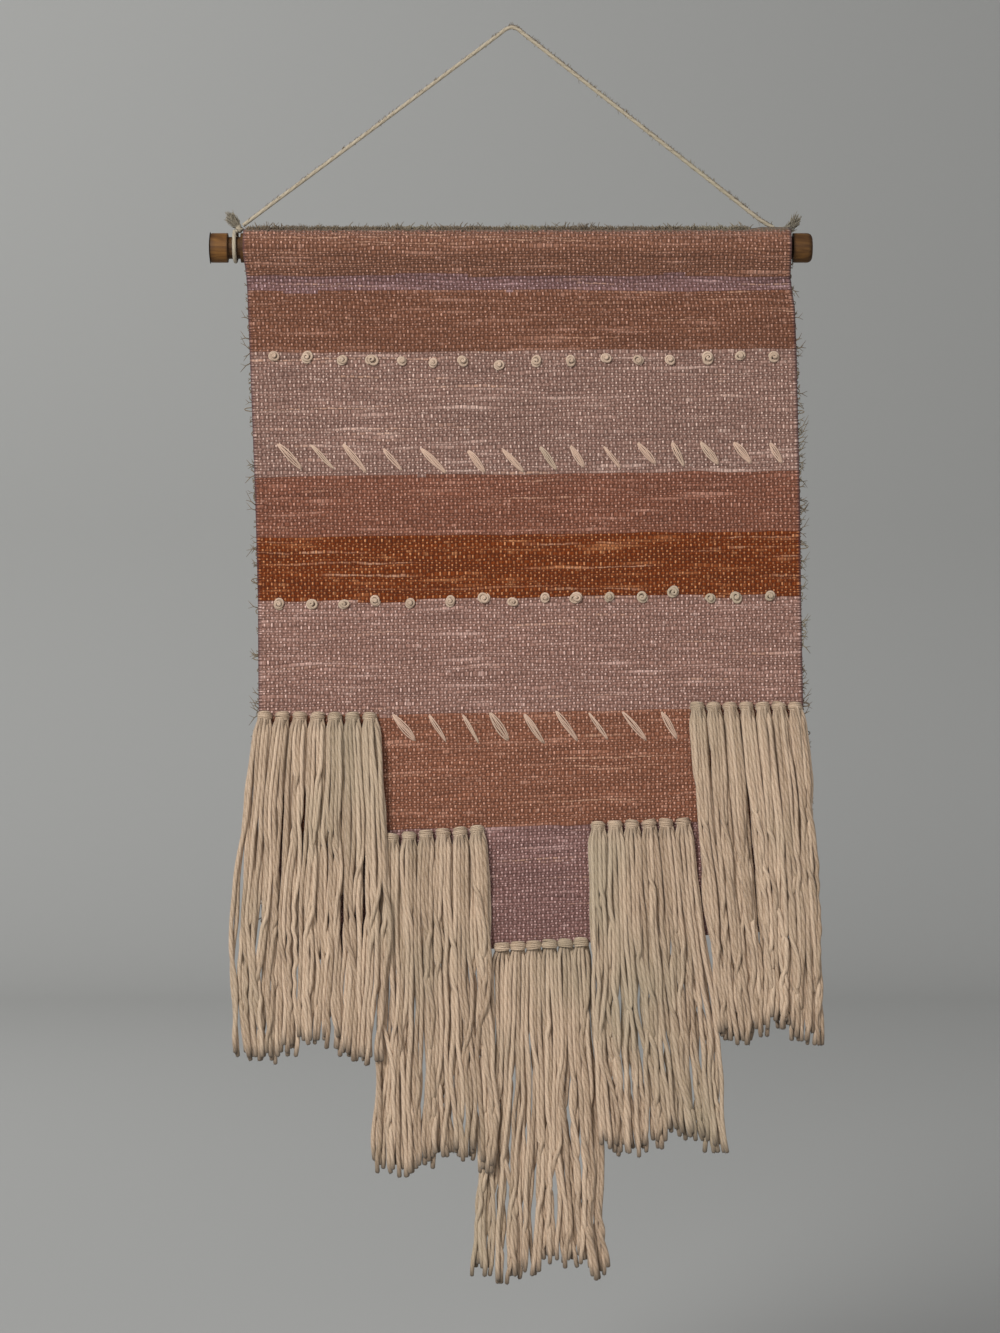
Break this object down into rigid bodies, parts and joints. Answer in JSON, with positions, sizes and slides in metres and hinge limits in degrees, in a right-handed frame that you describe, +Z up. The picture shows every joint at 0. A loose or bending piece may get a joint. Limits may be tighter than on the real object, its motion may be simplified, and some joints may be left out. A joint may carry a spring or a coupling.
{
  "type": "woven wall hanging on a wooden rod",
  "caption": "Woven cloth wall hanging folded over a wooden rod, with knotted cotton fringes in steps and a cotton hanging cord.",
  "frame": {"origin": "the point on the underside of the cord's peak where the hanging is hung on a wall", "axes": "+Z up, -Y out of the hanging's front, +X to the right of someone who faces it"},
  "size_m": [0.4613, 0.031, 0.9425],
  "materials": {
    "oiled_wood": "oiled, satin",
    "woven_cloth": "matt plain weave in rose, mauve and rust bands",
    "cotton_fringe": "matt cream cotton string",
    "cotton_cord": "matt twisted cream cotton"
  },
  "bodies": {
    "root": {"rod": "oiled_wood", "cloth": "woven_cloth", "fringe_left": "cotton_fringe", "fringe_middle_left": "cotton_fringe", "fringe_centre": "cotton_fringe", "fringe_middle_right": "cotton_fringe", "fringe_right": "cotton_fringe", "tie_left": "cotton_cord", "tie_right": "cotton_cord", "hanging_cord": "cotton_cord"}
  },
  "joints": []
}
